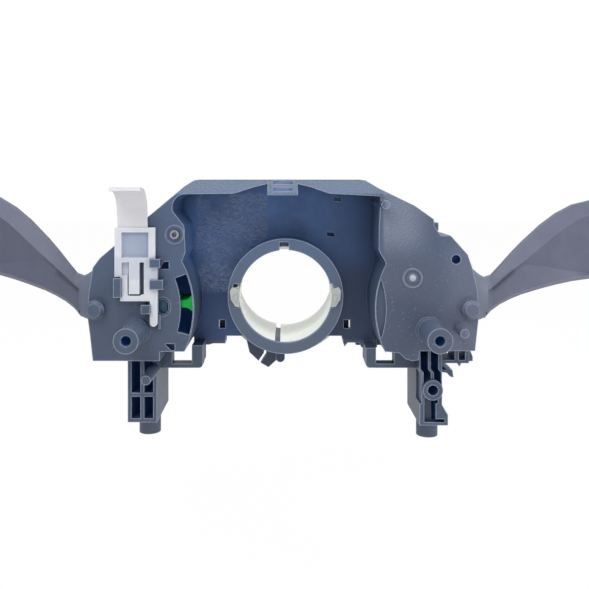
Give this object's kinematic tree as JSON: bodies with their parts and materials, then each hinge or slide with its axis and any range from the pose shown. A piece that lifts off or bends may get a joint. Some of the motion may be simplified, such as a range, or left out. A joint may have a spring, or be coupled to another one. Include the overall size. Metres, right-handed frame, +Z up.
{
  "type": "combination stalk switch",
  "caption": "Combination stalk switch for a steering column: moulded housing round a sleeved column bore, wiper lever, turn signal lever with light knob, and a self-cancelling ring.",
  "frame": {"origin": "on the steering axis at the collar's rear face, where the switch meets the column", "axes": "+Y along the steering axis towards the driver, +Z up, +X to the right as seen from the column side, towards the turn signal lever"},
  "size_m": [0.4191, 0.1015, 0.125],
  "materials": {
    "black_housing": "moulded, glass-filled, fine satin grain",
    "white_sleeve": "satin, slightly translucent white",
    "grey_lever": "fine satin, soft-touch grey",
    "natural_nylon": "natural, milky",
    "natural_acetal": "natural, smooth",
    "green_acetal": "smooth, slightly glossy",
    "green_board": "solder-resist sheen",
    "black_control": "satin",
    "chip_black": "matt",
    "zinc_steel": "zinc-plated",
    "spring_steel": "drawn wire",
    "pin_steel": "ground",
    "tinned_pins": "tin-plated",
    "contact_bronze": "spring bronze"
  },
  "bodies": {
    "housing": {"rear_housing": "black_housing", "front_cover": "black_housing", "column_sleeve": "white_sleeve", "cover_screws": "zinc_steel", "plate_screw": "zinc_steel", "connector_shroud": "black_housing", "connector_pins": "tinned_pins", "main_board": "green_board", "board_chips": "chip_black", "wiper_switch_board": "green_board", "signal_switch_board": "green_board", "cancel_pawl_spring": "spring_steel"},
    "steering_ring": {"cancel_ring": "natural_acetal"},
    "pawl": {"cancel_pawl": "natural_acetal"},
    "latch": {"lock_slide": "natural_nylon"},
    "wiper_swing_frame": {"wiper_carrier": "natural_acetal", "wiper_detent_follower": "green_acetal", "wiper_detent_spring": "spring_steel", "wiper_contact_bridge": "contact_bronze", "wiper_pull_pin": "pin_steel", "wiper_pull_spring": "spring_steel"},
    "wiper_lever": {"wiper_lever_root": "grey_lever", "wiper_stalk_rear_shell": "grey_lever", "wiper_stalk_front_shell": "grey_lever", "wiper_stalk_board": "green_board", "end_button_spring": "spring_steel"},
    "wiper_wheel": {"interval_wheel": "black_control"},
    "wiper_button": {"end_button": "black_control"},
    "signal_swing_frame": {"signal_carrier": "natural_acetal", "signal_detent_follower": "green_acetal", "signal_detent_spring": "spring_steel", "signal_contact_bridge": "contact_bronze", "signal_pull_pin": "pin_steel", "signal_pull_spring": "spring_steel"},
    "signal_lever": {"signal_lever_root": "grey_lever", "signal_stalk_rear_shell": "grey_lever", "signal_stalk_front_shell": "grey_lever", "signal_stalk_board": "green_board"},
    "signal_knob": {"light_knob": "grey_lever"}
  },
  "joints": [
    {"name": "wiper_swing", "type": "hinge", "parent": "housing", "child": "wiper_swing_frame", "pos_m": [-0.087, 0, -0.0035], "axis": [0, 1, 0], "range_deg": [-14, 14]},
    {"name": "wiper_pull", "type": "hinge", "parent": "wiper_swing_frame", "child": "wiper_lever", "pos_m": [-0.081, 0.006, -0.00368], "axis": [-0.0297, 0, -0.9996], "range_deg": [0, 6], "stiffness_Nm_per_rad": 0.6, "springref_deg": -5.73, "deforming": ["wiper_pull_spring"]},
    {"name": "wiper_interval_turn", "type": "hinge", "parent": "wiper_lever", "child": "wiper_wheel", "pos_m": [-0.16776, 0.0348, 0.03941], "axis": [0.3551, 0.9348, -0.0105], "range_deg": [-30, 30]},
    {"name": "wiper_end_button_press", "type": "slide", "parent": "wiper_lever", "child": "wiper_button", "axis": [0.9344, -0.3552, -0.0277], "range_m": [0, 0.0018], "stiffness_N_per_m": 600, "springref_m": -0.001, "deforming": ["end_button_spring"]},
    {"name": "signal_swing", "type": "hinge", "parent": "housing", "child": "signal_swing_frame", "pos_m": [0.0848, 0, -0.0035], "axis": [0, 1, 0], "range_deg": [-14, 14]},
    {"name": "signal_pull", "type": "hinge", "parent": "signal_swing_frame", "child": "signal_lever", "pos_m": [0.0788, 0.006, -0.00332], "axis": [0.0297, 0, 0.9996], "range_deg": [0, 6], "stiffness_Nm_per_rad": 0.6, "springref_deg": -5.73, "deforming": ["signal_pull_spring"]},
    {"name": "light_knob_turn", "type": "hinge", "parent": "signal_lever", "child": "signal_knob", "pos_m": [0.19621, 0.04563, 0.02561], "axis": [0.9344, 0.3552, -0.0277], "range_deg": [0, 60]},
    {"name": "steering_ring_turn", "type": "hinge", "parent": "housing", "child": "steering_ring", "pos_m": [0, 0.034, 0], "axis": [0, 1, 0], "continuous": true},
    {"name": "cancel_pawl_swing", "type": "hinge", "parent": "housing", "child": "pawl", "pos_m": [0.0515, 0.0335, 0.014], "axis": [0, 1, 0], "range_deg": [-8, 1.5], "stiffness_Nm_per_rad": 0.02, "deforming": ["cancel_pawl_spring"]},
    {"name": "latch_slide", "type": "slide", "parent": "housing", "child": "latch", "axis": [0, 0, 1], "range_m": [0, 0.006]}
  ]
}
